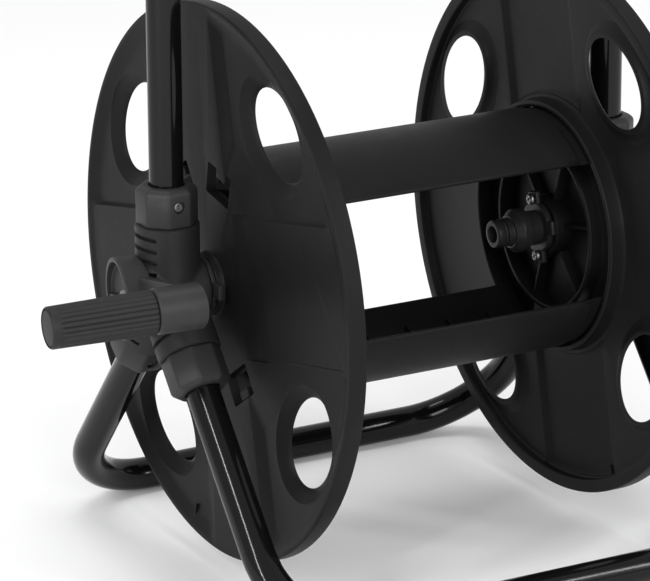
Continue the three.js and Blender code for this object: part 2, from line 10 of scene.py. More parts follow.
import bpy
import numpy as np
from mathutils import Matrix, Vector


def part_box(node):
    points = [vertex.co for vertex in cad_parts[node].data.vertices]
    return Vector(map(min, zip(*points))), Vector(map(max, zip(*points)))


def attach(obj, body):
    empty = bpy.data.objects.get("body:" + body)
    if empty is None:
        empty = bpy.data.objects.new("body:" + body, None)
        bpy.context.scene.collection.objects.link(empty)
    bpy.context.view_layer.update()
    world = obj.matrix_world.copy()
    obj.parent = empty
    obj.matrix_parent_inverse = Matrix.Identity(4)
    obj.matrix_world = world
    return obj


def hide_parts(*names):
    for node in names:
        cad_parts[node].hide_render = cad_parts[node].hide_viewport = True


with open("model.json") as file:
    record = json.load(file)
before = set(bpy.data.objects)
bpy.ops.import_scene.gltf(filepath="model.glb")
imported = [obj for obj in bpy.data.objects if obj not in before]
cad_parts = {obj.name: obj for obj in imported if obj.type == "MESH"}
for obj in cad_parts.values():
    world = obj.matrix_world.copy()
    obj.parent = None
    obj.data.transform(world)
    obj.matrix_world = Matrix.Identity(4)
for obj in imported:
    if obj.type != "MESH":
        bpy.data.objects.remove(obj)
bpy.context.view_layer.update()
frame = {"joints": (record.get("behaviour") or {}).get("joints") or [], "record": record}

# ---------- sizes, millimetres ----------

MM = 0.001
GAP = 0.3                    # between neighbouring pieces
PIN = 0.3                    # inner radius of a cutter that goes round the axis
JOINTS = {joint["name"]: joint for joint in frame["joints"]}
NEAR_BOX = [np.array(corner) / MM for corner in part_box("near_flange")]
FAR_BOX = [np.array(corner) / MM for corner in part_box("far_flange")]
MID_X = (NEAR_BOX[0][0] + FAR_BOX[1][0]) / 2
AXIS_Z = JOINTS["drum_spin"]["pos_m"][2] / MM
DRUM_TURN = math.radians(-12)

FLANGE_RADIUS = 149.7
FACE = 110.0                # flange's outer face from mid drum
RIM_WIDTH = 10.0
RIM_WALL = 7.0
WEB_BACK = 5.5
FLOOR = 3.7                 # quadrant's floor below the outer face
BAND_SUNK = 1.0
BAND_HALF = 38.5
BAND_SWEEP = 0.262           # radians, half of the band's arc at the rim
RIM_CORNER = 4.0             # round corner of a quadrant at the rim
RIM_RIB_TURNS = (-78, -67)   # degrees
HOLE_CENTRE = 112.5
HOLE_RADIAL = 20.0
HOLE_TANGENTIAL = 28.2
HOLE_DEPTH = 9.2
HOLE_TURNS = (45, 135, 225, 315)
CORE_RADIUS = 67.0
CORE_WALL = 3.0
CORE_DEPTH = 15.0
INNER_RING = 48.0
INNER_RING_WALL = 3.0
BOSS_RADIUS = 17.0
BOSS_RISE = 4.5
BOSS_DEPTH = 16.0
WINDOW_ANGLE = 22.0
WINDOW_WIDTH = 25.0
WINDOW_INNER = 48.5
WINDOW_OUTER = 65.5

SLAT_OUTER = CORE_RADIUS - 0.35
SLAT_WALL = 2.5
SLAT_HALF_ANGLE = 55.0
SLAT_END = 7.5
SLAT_SHOULDER = 90.0         # where the tongue at each end begins
SLAT_RIB_PLACES = (-78, -52, -26, 0, 26, 52, 78)
LATCH_WIDTH = 10.0

TUBE_RADIUS = 9.0
TUBE_WALL = 1.2
TUBE_BEND = 50.0
TUBE_SIDES = 48
BEND_STEPS = 16
STRAIGHT_STEPS = 5
FRAME_PLANE = 135.0
FOOT_SPREAD = 130.0
HANDLE_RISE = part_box("handle_tube")[1].z / MM - TUBE_RADIUS - AXIS_Z
SOCKET_RADIUS = 17.0
SOCKET_LENGTH = 37.5
SOCKET_STOP = 24.0
HUB_RADIUS = 18.0
HUB_HALF = 17.3
HUB_BORE = 13.65
SLOT_PLACES = {"handle": (13.8, 20.0, 26.2, 32.4), "front": (20.5, 28.5), "rear": (17.5, 24.5, 31.5)}
SLOT_SWEEP = math.radians(44)
SLOT_DEPTH = 3.2
SLOT_BOW = 2.2
COLLAR_START = 37.8
COLLAR_END = 58.3
COLLAR_FLAT = 15.2
SCREW_PLACE = 48.8

SHAFT_RADIUS = 11.0
ARM_INNER = 153.3
ARM_LENGTH = 72.0
HUB_OUTER = 164.9            # middle of the crank hub's slanting rim
HUB_FLOOR = 158.3
HUB_SLANT = math.tan(math.radians(11))
CRANK_HUB = 22.0
CRANK_WALL = 2.5
BOSS_LENGTH = 24.0
GRIP_RADIUS = 11.7
GRIP_END_RADIUS = 11.0
GRIP_LEAN = math.radians(7.5)
GRIP_FOOT = 24.3
GRIP_TIP = 80.3
GRIP_RIM = 4.5
GRIP_FLUTES = 24

NIPPLE_LENGTH = 27.0
PLATE_SCREW = 15.8           # from the axis

LEG_TILT = math.atan2(FOOT_SPREAD, AXIS_Z - TUBE_RADIUS)
LEGS = {"handle": (0.0, 1), "front": (math.pi - LEG_TILT, 1), "rear": (LEG_TILT - math.pi, -1)}


# ---------- placing ----------

def turn_x(points, angle):
    """Points turned about the X axis: y' = y cos - z sin, z' = y sin + z cos."""
    x, y, z = np.moveaxis(np.asarray(points, float), -1, 0)
    cos, sin = math.cos(angle), math.sin(angle)
    return np.stack([x, y * cos - z * sin, y * sin + z * cos], -1)


def turn_z(points, angle):
    """Points turned about the Z axis."""
    x, y, z = np.moveaxis(np.asarray(points, float), -1, 0)
    cos, sin = math.cos(angle), math.sin(angle)
    return np.stack([x * cos - y * sin, x * sin + y * cos, z], -1)


def turn_y(points, angle):
    """Points turned about the Y axis: x' = x cos + z sin, z' = z cos - x sin."""
    x, y, z = np.moveaxis(np.asarray(points, float), -1, 0)
    cos, sin = math.cos(angle), math.sin(angle)
    return np.stack([x * cos + z * sin, y, z * cos - x * sin], -1)


def moved(points, x=0.0, y=0.0, z=0.0):
    return np.asarray(points, float) + np.array([x, y, z])


def other_end(points):
    """The same shape at the far end: a half turn about Z."""
    return np.asarray(points, float) * np.array([-1.0, -1.0, 1.0])


def on_drum(points):
    return turn_x(points, DRUM_TURN)


def at_grip(points):
    """Leans a shape made on the X axis towards the hub, its 0 at the inner face of the arm's end."""
    return on_drum(moved(turn_z(points, -GRIP_LEAN), x=-ARM_INNER, y=-ARM_LENGTH))


def on_leg(points, leg, side):
    """Carries a shape made along +Z, its screw towards -Y, onto a leg of the near or far joint."""
    tilt, screw_side = LEGS[leg]
    faced = points if screw_side > 0 else turn_z(points, math.pi)
    return moved(turn_x(faced, tilt), x=side * FRAME_PLANE)


# ---------- surfaces ----------

def rounded(corners, steps=5):
    """Outline through corners (a, b, radius), each corner replaced by its arc of that radius, as an array."""
    corners = [np.array(corner, float) for corner in corners]
    outline = []
    for before, corner, after in zip([corners[-1]] + corners[:-1], corners, corners[1:] + [corners[0]]):
        here, radius = corner[:2], corner[2]
        back, ahead = before[:2] - here, after[:2] - here
        if radius <= 0:
            outline.append(here[None])
            continue
        back, ahead = back / np.linalg.norm(back), ahead / np.linalg.norm(ahead)
        half = math.acos(np.clip(back @ ahead, -1, 1)) / 2
        middle = (back + ahead) / np.linalg.norm(back + ahead)
        centre = here + middle * radius / math.sin(half)
        start, end = here + back * radius / math.tan(half), here + ahead * radius / math.tan(half)
        share = np.linspace(0, 1, steps + 1)[:, None]
        turned_by = math.pi - 2 * half
        from_start, from_end = start - centre, end - centre
        outline.append(centre + (from_start * np.sin((1 - share) * turned_by)
                                 + from_end * np.sin(share * turned_by)) / math.sin(turned_by))
    return np.concatenate(outline)


def faces_between(rows, columns, closed_rows):
    """Quads of a grid whose columns close on themselves, and whose rows do too if closed_rows."""
    row = np.arange(rows if closed_rows else rows - 1)[:, None]
    column = np.arange(columns)[None]
    next_row, next_column = (row + 1) % rows, (column + 1) % columns
    corners = np.stack([row * columns + column, row * columns + next_column,
                        next_row * columns + next_column, next_row * columns + column], -1)
    return corners.reshape(-1, 4)


def solid(rows, closed_rows=False):
    """Closed shape from rows of closed outlines, [row, point, xyz]; capped unless the rows close."""
    rows = np.asarray(rows, float)
    count, columns = rows.shape[:2]
    faces = faces_between(count, columns, closed_rows).tolist()
    if not closed_rows:
        faces.append(list(range(columns))[::-1])
        faces.append(list(range((count - 1) * columns, count * columns)))
    points = rows.reshape(-1, 3)
    volume = signed_volume(points, faces)
    if volume < 0:
        faces = [face[::-1] for face in faces]
    return points, faces


def signed_volume(points, faces):
    """Volume by the divergence theorem: each face is a fan of triangles from its first corner."""
    total = 0.0
    quads = np.array([face for face in faces if len(face) == 4])
    for a, b, c in ((0, 1, 2), (0, 2, 3)):
        first, second, third = points[quads[:, a]], points[quads[:, b]], points[quads[:, c]]
        total += np.einsum("ij,ij->i", first, np.cross(second, third)).sum()
    for face in faces:
        if len(face) > 4:
            fan = points[face]
            total += np.einsum("j,ij->i", fan[0], np.cross(fan[1:-1], fan[2:])).sum()
    return total / 6


def revolved(outline, sides=72, closed=True):
    """Solid of revolution about X: a point (x, radius) goes round as x, radius cos t, radius sin t."""
    outline = np.asarray(outline, float)
    angle = np.linspace(0, 2 * math.pi, sides, endpoint=False)[None]
    x, radius = outline[:, :1], outline[:, 1:2]
    rows = np.stack([x + 0 * angle, radius * np.cos(angle), radius * np.sin(angle)], -1)
    return solid(rows, closed)


def sleeve(start, end, inner, outer, sides):
    """Ring of square section along X between two radii, used to bore a hole or to add a collar."""
    return revolved([(start, inner), (start, outer), (end, outer), (end, inner)], sides)


def extruded(outlines, depths):
    """Solid along X through closed outlines in the Y-Z plane, one for each depth."""
    rows = []
    for outline, depth in zip(outlines, depths):
        rows.append(np.column_stack([np.full(len(outline), depth), outline]))
    return solid(np.array(rows))


def block(x0, x1, y0, y1, z0, z1, radius=0.6):
    """Rounded bar along X: a rounded rectangle that draws in at both ends by a quarter circle."""
    steps = np.linspace(0, math.pi / 2, 4)
    inset = radius * (1 - np.sin(steps))
    depth = radius * (1 - np.cos(steps))
    outlines = []
    for pull in np.concatenate([inset, inset[::-1]]):
        corner = max(radius - pull, 0.05)
        outlines.append(rounded([(y0 + pull, z0 + pull, corner), (y1 - pull, z0 + pull, corner),
                                 (y1 - pull, z1 - pull, corner), (y0 + pull, z1 - pull, corner)], 3))
    return extruded(outlines, np.concatenate([x0 + depth, x1 - depth[::-1]]))


def along_path(path, tangents, normals, section):
    """Section (a, b) carried along a path: point = place + a normal + b (tangent x normal)."""
    binormals = np.cross(tangents, normals)
    return (path[:, None] + section[None, :, :1] * normals[:, None]
            + section[None, :, 1:2] * binormals[:, None])


# ---------- objects ----------

def raw_object(name, shape, place=None):
    points, faces = shape
    placed = points if place is None else place(points)
    world = moved(placed, x=MID_X, z=AXIS_Z) * MM
    mesh = bpy.data.meshes.new(name)
    mesh.from_pydata(world.tolist(), [], faces)
    mesh.update()
    made = bpy.data.objects.new(name, mesh)
    bpy.context.scene.collection.objects.link(made)
    return made


def merged(made, others, operation):
    """The solid after adding or cutting the others in turn; they are removed."""
    for other in others:
        modifier = made.modifiers.new(operation, "BOOLEAN")
        modifier.operation = operation
        modifier.solver = "MANIFOLD"
        modifier.object = other
    apply_modifiers(made)
    for other in others:
        spare = other.data
        bpy.data.objects.remove(other)
        bpy.data.meshes.remove(spare)
    return made


def apply_modifiers(made):
    graph = bpy.context.evaluated_depsgraph_get()
    graph.update()
    old = made.data
    made.data = bpy.data.meshes.new_from_object(made.evaluated_get(graph))
    made.modifiers.clear()
    bpy.data.meshes.remove(old)


def built(name, base, add=(), cut=(), place=None):
    """A solid with shapes added and then others cut away, all placed the same way."""
    made = raw_object(name, base, place)
    if add:
        merged(made, [raw_object("add", shape, place) for shape in add], "UNION")
    if cut:
        merged(made, [raw_object("cut", shape, place) for shape in cut], "DIFFERENCE")
    return made


def blended(made, voxel, rounds):
    """Melts the creases of a joined solid: remeshed on a voxel grid and smoothed a few rounds."""
    remesh = made.modifiers.new("remesh", "REMESH")
    remesh.mode = "VOXEL"
    remesh.voxel_size = voxel * MM
    smooth = made.modifiers.new("smooth", "SMOOTH")
    smooth.factor = 0.5
    smooth.iterations = rounds
    apply_modifiers(made)
    return made


def finished(made, node, body, material, crease=32):
    """Gives a piece its finish and its body, and lets it stand for its CAD node."""
    record_slot = next(part["material_slot"] for part in frame["record"]["subparts"] if part["node"] == node)
    made.name = node + "_moulded" if record_slot.endswith("plastic") else node + "_made"
    made.data.name = made.name
    made.data.materials.clear()
    made.data.materials.append(material)
    made.data.shade_smooth()
    made.data.set_sharp_from_angle(angle=math.radians(crease))
    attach(made, body)
    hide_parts(node)
    return made


# ---------- materials ----------

class Value:
    """A number that varies over the surface; sums and products of values add their Math nodes."""

    def __init__(self, finish, socket):
        self.finish, self.socket = finish, socket

    def _with(self, operation, first, second):
        return self.finish.value("ShaderNodeMath", {"operation": operation}, {0: first, 1: second})

    def __add__(self, other):
        return self._with("ADD", self, other)

    __radd__ = __add__

    def __mul__(self, other):
        return self._with("MULTIPLY", self, other)

    __rmul__ = __mul__

    def __sub__(self, other):
        return self._with("SUBTRACT", self, other)

    def __rsub__(self, other):
        return self._with("SUBTRACT", other, self)


class Finish:
    """A material under construction on the Principled shader."""

    def __init__(self, name, **constants):
        self.material = bpy.data.materials.new(name)
        self.material.use_nodes = True
        self.tree = self.material.node_tree
        self.shader = self.tree.nodes["Principled BSDF"]
        for socket, value in constants.items():
            self.shader.inputs[socket.replace("_", " ")].default_value = value
        self.place = self.node("ShaderNodeTexCoord", {}, {}).outputs["Object"]

    def node(self, kind, settings, links):
        """Adds a node: its settings first, then the values or links of its inputs."""
        made = self.tree.nodes.new(kind)
        for setting, value in settings.items():
            if setting == "stops":
                self.set_stops(made, value)
            else:
                setattr(made, setting, value)
        for socket, value in links.items():
            self.feed(made.inputs[socket], value)
        return made

    def set_stops(self, ramp, stops):
        elements = ramp.color_ramp.elements
        while len(elements) < len(stops):
            elements.new(0.5)
        for element, (position, level) in zip(elements, stops):
            element.position = position
            element.color = (level, level, level, 1)

    def feed(self, socket, value):
        if isinstance(value, Value):
            value = value.socket
        if isinstance(value, bpy.types.NodeSocket):
            self.tree.links.new(value, socket)
        else:
            socket.default_value = value

    def value(self, kind, settings, links):
        return Value(self, self.node(kind, settings, links).outputs[0])

    def stretched(self, scale):
        """Object coordinates stretched along each axis."""
        return self.node("ShaderNodeMapping", {}, {"Vector": self.place, "Scale": scale}).outputs[0]

    def noise(self, scale, detail=3.0, where=None, rough=0.55):
        links = {"Vector": where or self.place, "Scale": scale, "Detail": detail, "Roughness": rough}
        return self.value("ShaderNodeTexNoise", {}, links)

    def cells(self, scale):
        return self.value("ShaderNodeTexVoronoi", {"feature": "F1"}, {"Vector": self.place, "Scale": scale})

    def ramp(self, value, *stops):
        return self.value("ShaderNodeValToRGB", {"stops": stops}, {0: value})

    def tint(self, factor, low, high):
        """Colour between low and high by a factor."""
        mix = self.node("ShaderNodeMix", {"data_type": "RGBA"}, {0: factor, 6: (*low, 1), 7: (*high, 1)})
        return mix.outputs[2]

    def over(self, factor, colour, high):
        """A colour laid over another by a factor."""
        mix = self.node("ShaderNodeMix", {"data_type": "RGBA"}, {0: factor, 6: colour, 7: (*high, 1)})
        return mix.outputs[2]

    def done(self, colour=None, height=None, strength=0.2, depth=0.00005, **varying):
        if colour is not None:
            self.feed(self.shader.inputs["Base Color"], colour)
        for socket, value in varying.items():
            self.feed(self.shader.inputs[socket.replace("_", " ")], value)
        if height is not None:
            links = {"Height": height, "Strength": strength, "Distance": depth}
            bump = self.node("ShaderNodeBump", {}, links)
            self.tree.links.new(bump.outputs[0], self.shader.inputs["Normal"])
        return self.material


def moulded_plastic(name, dark, light, roughness, shine=0.2, grain=2600.0, relief=0.35):
    """Black polypropylene from a spark-eroded mould: fine grain, flow clouds, a little dust and rubbing."""
    f = Finish(name, Specular_IOR_Level=shine)
    clouds = f.noise(14.0, 4.0)
    pores = f.cells(grain)
    fine = f.noise(grain * 0.6, 2.0)
    rubbed = f.ramp(f.noise(55.0, 6.0, rough=0.7), (0.55, 0.0), (0.78, 1.0))
    dust = f.ramp(f.noise(420.0, 3.0, rough=0.8), (0.62, 0.0), (0.8, 1.0))
    colour = f.tint(clouds, dark, light)
    colour = f.over(rubbed * 0.16, colour, tuple(3.2 * level for level in light))
    colour = f.over(dust * 0.05, colour, (0.30, 0.29, 0.27))
    height = pores * 0.6 + fine * 0.4
    return f.done(colour, height, relief, 0.00006,
                  Roughness=clouds * 0.10 + fine * 0.08 - rubbed * 0.06 + (roughness - 0.08))


def gloss_paint(name):
    """Black stove enamel on steel tube: deep gloss, faint orange peel, hairline scratches and dust specks."""
    f = Finish(name, Specular_IOR_Level=0.22)
    peel = f.noise(260.0, 2.0)
    clouds = f.noise(9.0, 3.0)
    specks = f.ramp(f.noise(900.0, 2.0, rough=0.8), (0.70, 0.0), (0.78, 1.0))
    hair = f.noise(90.0, 5.0, where=f.stretched((1, 14, 14)), rough=0.75)
    scratches = f.ramp(hair, (0.60, 0.0), (0.72, 1.0))
    colour = f.tint(clouds, (0.0020, 0.0020, 0.0022), (0.0040, 0.0040, 0.0043))
    colour = f.over(specks * 0.10, colour, (0.16, 0.155, 0.15))
    return f.done(colour, peel, 0.10, 0.00010, Roughness=clouds * 0.05 + scratches * 0.10 + 0.10)


def rubber_finish(name):
    f = Finish(name, Specular_IOR_Level=0.35)
    skin = f.noise(1500.0, 3.0)
    bloom = f.ramp(f.noise(160.0, 4.0), (0.45, 0.0), (0.8, 1.0))
    colour = f.tint(skin, (0.006, 0.006, 0.006), (0.011, 0.011, 0.011))
    colour = f.over(bloom * 0.25, colour, (0.05, 0.05, 0.048))
    return f.done(colour, skin, 0.25, 0.00004, Roughness=skin * 0.15 + 0.55)


def plated_steel(name):
    """Zinc plate: soft spangle in its gloss and fine turning marks."""
    f = Finish(name, Metallic=1.0)
    spangle = f.cells(700.0)
    marks = f.noise(1800.0, 2.0, where=f.stretched((3, 1, 1)))
    dull = f.ramp(f.noise(300.0, 4.0), (0.5, 0.0), (0.75, 1.0))
    colour = f.tint(spangle, (0.20, 0.20, 0.205), (0.32, 0.32, 0.325))
    colour = f.over(dull * 0.4, colour, (0.14, 0.135, 0.125))
    return f.done(colour, marks, 0.15, 0.00003, Roughness=spangle * 0.12 + dull * 0.20 + 0.34)


DRUM = moulded_plastic("drum_polypropylene", (0.0048, 0.0048, 0.0051), (0.0078, 0.0078, 0.0082), 0.46,
                       shine=0.11)
JOINT = moulded_plastic("joint_polypropylene", (0.0120, 0.0120, 0.0124), (0.0175, 0.0175, 0.0180), 0.50)
COLLAR = moulded_plastic("collar_polypropylene", (0.0185, 0.0185, 0.0190), (0.0255, 0.0255, 0.0260), 0.44)
GRIP = moulded_plastic("grip_polypropylene", (0.0115, 0.0115, 0.0119), (0.0165, 0.0165, 0.0170), 0.52)
FITTING = moulded_plastic("fitting_acetal", (0.0150, 0.0150, 0.0155), (0.0200, 0.0200, 0.0205), 0.36,
                          grain=3600.0, relief=0.15)
PAINT = gloss_paint("painted_steel")
RUBBER = rubber_finish("seal_rubber")
ZINC = plated_steel("zinc_plate")


# ---------- stand ----------

def u_path(tilt, reach):
    """Centre line of a U of tube: up one leg, a round bend, across, a round bend, down the other leg."""
    away = np.array([0.0, math.sin(tilt), math.cos(tilt)])
    angle = np.linspace(0, math.pi / 2, BEND_STEPS + 1)
    rise = np.linspace(SOCKET_STOP + 0.3, reach - TUBE_BEND, STRAIGHT_STEPS, endpoint=False)
    across = np.linspace(-FRAME_PLANE + TUBE_BEND, 0, STRAIGHT_STEPS, endpoint=False)[1:]
    x = np.concatenate([np.full(len(rise), -FRAME_PLANE),
                        -FRAME_PLANE + TUBE_BEND * (1 - np.cos(angle)), across])
    along = np.concatenate([rise, reach - TUBE_BEND + TUBE_BEND * np.sin(angle), np.full(len(across), reach)])
    heading = np.concatenate([np.zeros(len(rise)), angle, np.full(len(across), math.pi / 2)])
    x = np.concatenate([x, [0.0], -x[::-1]])
    along = np.concatenate([along, [reach], along[::-1]])
    heading = np.concatenate([heading, [math.pi / 2], math.pi - heading[::-1]])
    path = np.array([1.0, 0, 0]) * x[:, None] + away * along[:, None]
    tangents = np.array([1.0, 0, 0]) * np.sin(heading)[:, None] + away * np.cos(heading)[:, None]
    side = np.cross(away, [1.0, 0, 0])
    return path, tangents, np.repeat(side[None], len(path), 0)


def tube(tilt, reach):
    """Bent tube with an open bore: the outer skin along the path and the inner skin back."""
    path, tangents, normals = u_path(tilt, reach)
    angle = np.linspace(0, 2 * math.pi, TUBE_SIDES, endpoint=False)
    circle = np.column_stack([np.cos(angle), np.sin(angle)])
    outer = along_path(path, tangents, normals, circle * TUBE_RADIUS)
    inner = along_path(path, tangents, normals, circle * (TUBE_RADIUS - TUBE_WALL))
    return solid(np.concatenate([outer, inner[::-1]]), closed_rows=True)


def upright(shape):
    """A shape made along +X stood up along +Z."""
    points, faces = shape
    return turn_y(points, -math.pi / 2), faces


def joint_slots(side):
    """Curved weight-saving slots on the outer side of a socket: short ring sectors cut into its wall."""
    cuts = []
    facing = math.pi / 2 if side < 0 else -math.pi / 2
    angle = facing + np.linspace(-SLOT_SWEEP, SLOT_SWEEP, 17)[:, None]
    bow = SLOT_BOW * (np.cos(angle - facing) - 1)
    for leg, places in SLOT_PLACES.items():
        for place in places:
            outline = rounded([
                (place - 1.3, SOCKET_RADIUS + 3, 0), (place + 1.3, SOCKET_RADIUS + 3, 0),
                (place + 1.1, SOCKET_RADIUS - SLOT_DEPTH, 0.9),
                (place - 1.1, SOCKET_RADIUS - SLOT_DEPTH, 0.9)], 4)
            x, radius = outline[None, :, 0], outline[None, :, 1]
            rows = np.stack([radius * -np.sin(angle), radius * np.cos(angle), x + bow], -1)
            cuts.append((solid(rows), leg))
    return cuts


def stand_joint(side):
    """Three sockets melted into a hub, bored for the tubes and the drum's bush, slots in the outer walls."""
    def in_frame(points):
        return moved(points, x=side * FRAME_PLANE)

    hub = revolved(rounded([(-HUB_HALF, HUB_BORE - 3, 0), (-HUB_HALF, HUB_RADIUS, 1.2),
                            (HUB_HALF, HUB_RADIUS, 1.2), (HUB_HALF, HUB_BORE - 3, 0)]), 72)
    socket = upright(sleeve(6, SOCKET_LENGTH + 4, 1.0, SOCKET_RADIUS, 72))
    body = raw_object("joint", hub, in_frame)
    sockets = [raw_object("socket", socket, lambda p, leg=leg: on_leg(p, leg, side)) for leg in LEGS]
    merged(body, sockets, "UNION")
    blended(body, 0.9, 5)
    trim = upright(revolved(rounded([
        (SOCKET_LENGTH, 5, 0), (SOCKET_LENGTH, SOCKET_RADIUS - 0.9, 0),
        (SOCKET_LENGTH - 0.9, SOCKET_RADIUS + 0.4, 0), (SOCKET_LENGTH - 0.9, SOCKET_RADIUS + 8, 0),
        (SOCKET_LENGTH + 12, SOCKET_RADIUS + 8, 0), (SOCKET_LENGTH + 12, 5, 0)]), 72))
    bore = upright(sleeve(SOCKET_STOP, SOCKET_LENGTH + 13, 0.5, TUBE_RADIUS + GAP, 48))
    cutters = []
    for leg in LEGS:
        for shape in (trim, bore):
            cutters.append(raw_object("cut", shape, lambda p, leg=leg: on_leg(p, leg, side)))
    for shape, leg in joint_slots(side):
        cutters.append(raw_object("cut", shape, lambda p, leg=leg: in_frame(turn_x(p, LEGS[leg][0]))))
    cutters.append(raw_object("cut", sleeve(-HUB_HALF - 3, HUB_HALF + 3, 0.5, HUB_BORE, 72), in_frame))
    return merged(body, cutters, "DIFFERENCE")


def collar():
    """Eight-sided clamp collar along +Z: rounded flats, a chamfered shoulder at its outer end and a bore."""
    corner = COLLAR_FLAT / math.cos(math.pi / 8)
    angle = (np.arange(8) + 0.5) * math.pi / 4
    heights = np.array([0, 0.25, 0.8, 17.2, 18.4, 19.6, 20.3, COLLAR_END - COLLAR_START]) + COLLAR_START
    shrink = np.array([0.8, 0.3, 0.0, 0.0, 0.5, 1.7, 2.7, 3.3])
    rows = []
    for height, inset in zip(heights, shrink):
        radius = corner - inset * 1.08
        outline = rounded([(radius * math.cos(a), radius * math.sin(a), 3.2) for a in angle], 5)
        rows.append(np.column_stack([outline, np.full(len(outline), height)]))
    body = solid(np.array(rows))
    bore = upright(revolved([(COLLAR_START - 1, 0.5), (COLLAR_START - 1, TUBE_RADIUS + 0.35),
                             (COLLAR_END - 0.8, TUBE_RADIUS + 0.35), (COLLAR_END + 1, TUBE_RADIUS + 1.2),
                             (COLLAR_END + 1, 0.5)], 48))
    pocket = facing_screw(revolved([
        (COLLAR_FLAT - 2.3, PIN), (COLLAR_FLAT - 2.3, 3.1), (COLLAR_FLAT - 0.5, 3.1),
        (COLLAR_FLAT + 2, 3.6), (COLLAR_FLAT + 2, PIN)], 32))
    shank = facing_screw(sleeve(5, COLLAR_FLAT, PIN, 1.9, 24))
    return body, [bore, pocket, shank]


def facing_screw(shape):
    """A shape made along +X, turned towards -Y and set at the collar's screw."""
    points, faces = shape
    return moved(turn_z(points, -math.pi / 2), z=SCREW_PLACE), faces


def cross_screw(shank_end, under_head, radius, head_radius, head_depth):
    """Pan head screw along X with a cross recess; returns its solid and the cutters of the cross."""
    top = under_head + head_depth
    body = revolved(rounded([(shank_end, 0.2, 0), (shank_end, radius, 0.3), (under_head, radius, 0),
                             (under_head, head_radius, 0.2), (top, head_radius, head_depth * 0.8),
                             (top, 0.2, 0)], 6), 40)
    arm, depth = head_radius * 0.55, head_depth * 0.6
    cuts = []
    for turn in (0, math.pi / 2):
        points, faces = block(top - depth, top + 1, -arm, arm, -arm * 0.24, arm * 0.24, 0.08)
        cuts.append((turn_x(points, turn + 0.4), faces))
    return body, cuts


def make_stand():
    leg_length = math.hypot(FOOT_SPREAD, AXIS_Z - TUBE_RADIUS)
    for node, leg, reach in (("handle_tube", "handle", HANDLE_RISE), ("front_foot_tube", "front", leg_length),
                             ("rear_foot_tube", "rear", leg_length)):
        finished(raw_object(node, tube(LEGS[leg][0], reach)), node, "stand", PAINT)
    for end, side in (("near", -1), ("far", 1)):
        finished(stand_joint(side), f"{end}_joint", "stand", JOINT, crease=38)
        for leg in LEGS:
            body, cuts = collar()
            carried = lambda points, leg=leg: on_leg(points, leg, side)
            node = f"{end}_{leg}_collar"
            finished(built(node, body, cut=cuts, place=carried), node, "stand", COLLAR)
            screw, cross = cross_screw(7.0, COLLAR_FLAT - 2.2, 1.6, 2.7, 1.0)
            node = f"{end}_{leg}_screw"
            made = built(node, facing_screw(screw), cut=[facing_screw(one) for one in cross], place=carried)
            finished(made, node, "stand", ZINC)
        finished(bush(side), f"{end}_bush", "stand", FITTING)


def bush(side):
    """Flanged bearing bush in the hub; the near one has a small stop lug beside its collar."""
    inner = FRAME_PLANE - HUB_HALF
    body = revolved(rounded([
        (-FRAME_PLANE - HUB_HALF + 1, SHAFT_RADIUS + 0.35, 0), (-FRAME_PLANE - HUB_HALF + 1, 13.35, 0.4),
        (-inner + 0.3, 13.35, 0), (-inner + 0.3, 17.0, 0.5), (-inner + 3.0, 17.0, 0.8),
        (-inner + 3.0, SHAFT_RADIUS + 0.35, 0.4)]), 72)
    place = (lambda points: points) if side < 0 else other_end
    lug = block(-inner + 0.3, -inner + 3.0, -24, -15, -2, 6, 0.5)
    return built("bush", body, add=[lug], place=place)


# ---------- drum ----------

def arc(centre, radius, start, end, count):
    """Points of an arc in the Y-Z plane."""
    sweep = np.linspace(start, end, count)
    return centre + radius * np.column_stack([np.cos(sweep), np.sin(sweep)])


def quadrant(spoke, band, rim, hub):
    """Outline of the space between a spoke, a band, the rim and a circle round the hub.

    Its two corners at the rim are round.
    """
    along_band = math.sqrt((rim - RIM_CORNER) ** 2 - (band + RIM_CORNER) ** 2)
    along_spoke = math.sqrt((rim - RIM_CORNER) ** 2 - (spoke + RIM_CORNER) ** 2)
    band_corner = np.array([along_band, band + RIM_CORNER])
    spoke_corner = np.array([spoke + RIM_CORNER, along_spoke])
    low = math.atan2(band_corner[1], band_corner[0])
    high = math.atan2(spoke_corner[1], spoke_corner[0])
    hub_low, hub_high = math.asin(band / hub), math.acos(spoke / hub)
    band_start, spoke_end = [hub * math.cos(hub_low), band], [spoke, hub * math.sin(hub_high)]
    return np.concatenate([
        arc(np.zeros(2), hub, hub_high, hub_low, 16),
        np.linspace(band_start, [along_band, band], 22, endpoint=False)[1:],
        arc(band_corner, RIM_CORNER, -math.pi / 2, low, 8),
        arc(np.zeros(2), rim, low, high, 40)[1:-1],
        arc(spoke_corner, RIM_CORNER, high, math.pi, 8),
        np.linspace([spoke, along_spoke], spoke_end, 22, endpoint=False)[1:],
    ])


def ellipse(radial, tangential):
    """Oval hole's outline round its own centre, which lies along +Y at the hole circle."""
    angle = np.linspace(0, 2 * math.pi, 72, endpoint=False)
    return np.column_stack([HOLE_CENTRE + radial * np.cos(angle), tangential * np.sin(angle)])


def turned_about_x(shape, degrees):
    points, faces = shape
    return turn_x(points, math.radians(degrees)), faces


